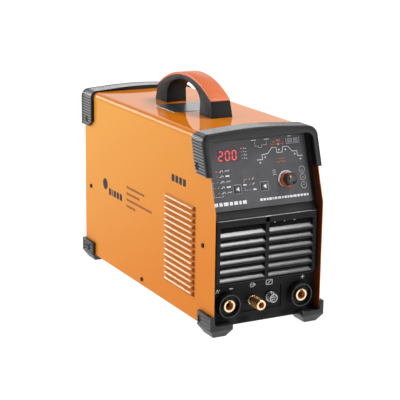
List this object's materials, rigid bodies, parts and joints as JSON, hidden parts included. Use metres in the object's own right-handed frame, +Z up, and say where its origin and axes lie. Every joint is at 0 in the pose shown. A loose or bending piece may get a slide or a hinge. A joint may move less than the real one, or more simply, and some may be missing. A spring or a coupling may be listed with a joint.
{
  "type": "tig welding machine",
  "caption": "Portable TIG welding inverter: orange folded cover, black ribbed bumpers and feet, raked control panel with knob, louvred front, current sockets and carrying handle.",
  "frame": {"origin": "middle of the footprint, on the ground under the feet", "axes": "front with the sockets faces -Y, the long side of the case runs along Y, +Z is up"},
  "size_m": [0.195, 0.494, 0.353],
  "materials": {
    "orange_paint": "glossy orange powder coat on folded steel",
    "galvanised": "zinc plated steel tray",
    "black_moulding": "black fine textured ABS",
    "black_guard": "black ribbed impact plastic",
    "handle_black": "black glass filled nylon",
    "handle_orange": "satin red-orange moulded cap",
    "overlay_film": "printed dark grey polyester overlay",
    "smoked_window": "smoked display window",
    "display_epoxy": "three digit numeric display block",
    "led_lens": "clear and red lamp lenses",
    "circuit_board": "green solder mask laminate",
    "switch_black": "black switch plastic",
    "button_black": "black satin key cap",
    "knob_orange": "orange knob skirt",
    "knob_black": "black knob cap",
    "black_screw": "black passivated steel screws",
    "zinc_screw": "zinc plated steel",
    "label_foil": "blank silver foil plate",
    "brass": "machined brass",
    "nickel": "nickel plated connector shell",
    "contact_gold": "plated contact pins",
    "connector_black": "black contact carrier",
    "fan_plastic": "black fan plastic",
    "wire_guard": "plated steel guard",
    "grey_nylon": "dark grey nylon",
    "heatsink_alloy": "extruded aluminium fins",
    "module_epoxy": "black power module cases",
    "capacitor_sleeve": "dark blue sleeved capacitors",
    "ferrite": "dark grey ferrite core",
    "copper_winding": "varnished copper winding",
    "valve_body": "brass valve with moulded coil",
    "hose_black": "black gas hose",
    "busbar_copper": "copper busbars"
  },
  "bodies": {
    "machine": {"bus_capacitors": "capacitor_sleeve", "busbars": "busbar_copper", "button_switches": "switch_black", "cable_gland": "grey_nylon", "case_screws": "black_screw", "chassis_base": "galvanised", "control_board": "circuit_board", "control_overlay": "overlay_film", "cover": "orange_paint", "display_module": "display_epoxy", "display_window": "smoked_window", "earth_stud": "zinc_screw", "encoder_body": "zinc_screw", "fan_frame": "fan_plastic", "fan_guard": "wire_guard", "fan_screws": "black_screw", "foot_front_left": "black_guard", "foot_front_right": "black_guard", "foot_rear_left": "black_guard", "foot_rear_right": "black_guard", "front_bumper": "black_guard", "front_grille": "black_moulding", "front_locknuts": "zinc_screw", "front_panel": "black_moulding", "gas_inlet_barb": "brass", "gas_outlet_body": "brass", "gas_pipes": "hose_black", "gas_valve": "valve_body", "grille_screw": "black_screw", "handle_frame": "handle_black", "handle_grip": "handle_orange", "handle_screws": "zinc_screw", "heatsink": "heatsink_alloy", "hf_coil": "copper_winding", "indicator_leds": "led_lens", "inlet_nuts": "zinc_screw", "inverter_board": "circuit_board", "output_choke": "copper_winding", "power_modules": "module_epoxy", "power_switch_housing": "switch_black", "rear_bumper": "black_guard", "rear_panel": "black_moulding", "socket_housing_minus": "black_moulding", "socket_housing_plus": "black_moulding", "socket_insert_minus": "brass", "socket_insert_plus": "brass", "top_label": "label_foil", "torch_connector_insert": "connector_black", "torch_connector_pins": "contact_gold", "torch_connector_shell": "nickel", "transformer_core": "ferrite", "transformer_windings": "copper_winding"},
    "knob": {"knob_shaft": "zinc_screw", "knob_skirt": "knob_orange", "knob_cap": "knob_black"},
    "left_button": {"button_left": "button_black"},
    "right_button": {"button_right": "button_black"},
    "mains_rocker": {"power_rocker": "switch_black"},
    "fan_wheel": {"fan_rotor": "fan_plastic"},
    "gas_collar": {"gas_outlet_sleeve": "brass"}
  },
  "joints": [
    {"name": "knob_turn", "type": "hinge", "parent": "machine", "child": "knob", "pos_m": [0.0434, -0.20755, 0.22096], "axis": [0, -0.9521, 0.3057], "continuous": true},
    {"name": "left_button_press", "type": "slide", "parent": "machine", "child": "left_button", "axis": [0, 0.9521, -0.3057], "range_m": [0, 0.0012], "stiffness_N_per_m": 1500, "springref_m": -0.0003},
    {"name": "right_button_press", "type": "slide", "parent": "machine", "child": "right_button", "axis": [0, 0.9521, -0.3057], "range_m": [0, 0.0012], "stiffness_N_per_m": 1500, "springref_m": -0.0003},
    {"name": "mains_rocker_tilt", "type": "hinge", "parent": "machine", "child": "mains_rocker", "pos_m": [-0.045, 0.213, 0.24], "axis": [1, 0, 0], "range_deg": [0, 24]},
    {"name": "fan_spin", "type": "hinge", "parent": "machine", "child": "fan_wheel", "pos_m": [0, 0.2, 0.132], "axis": [0, 1, 0], "continuous": true},
    {"name": "gas_collar_pull", "type": "slide", "parent": "machine", "child": "gas_collar", "axis": [0, 1, 0], "range_m": [0, 0.003], "stiffness_N_per_m": 1200, "springref_m": -0.001}
  ]
}
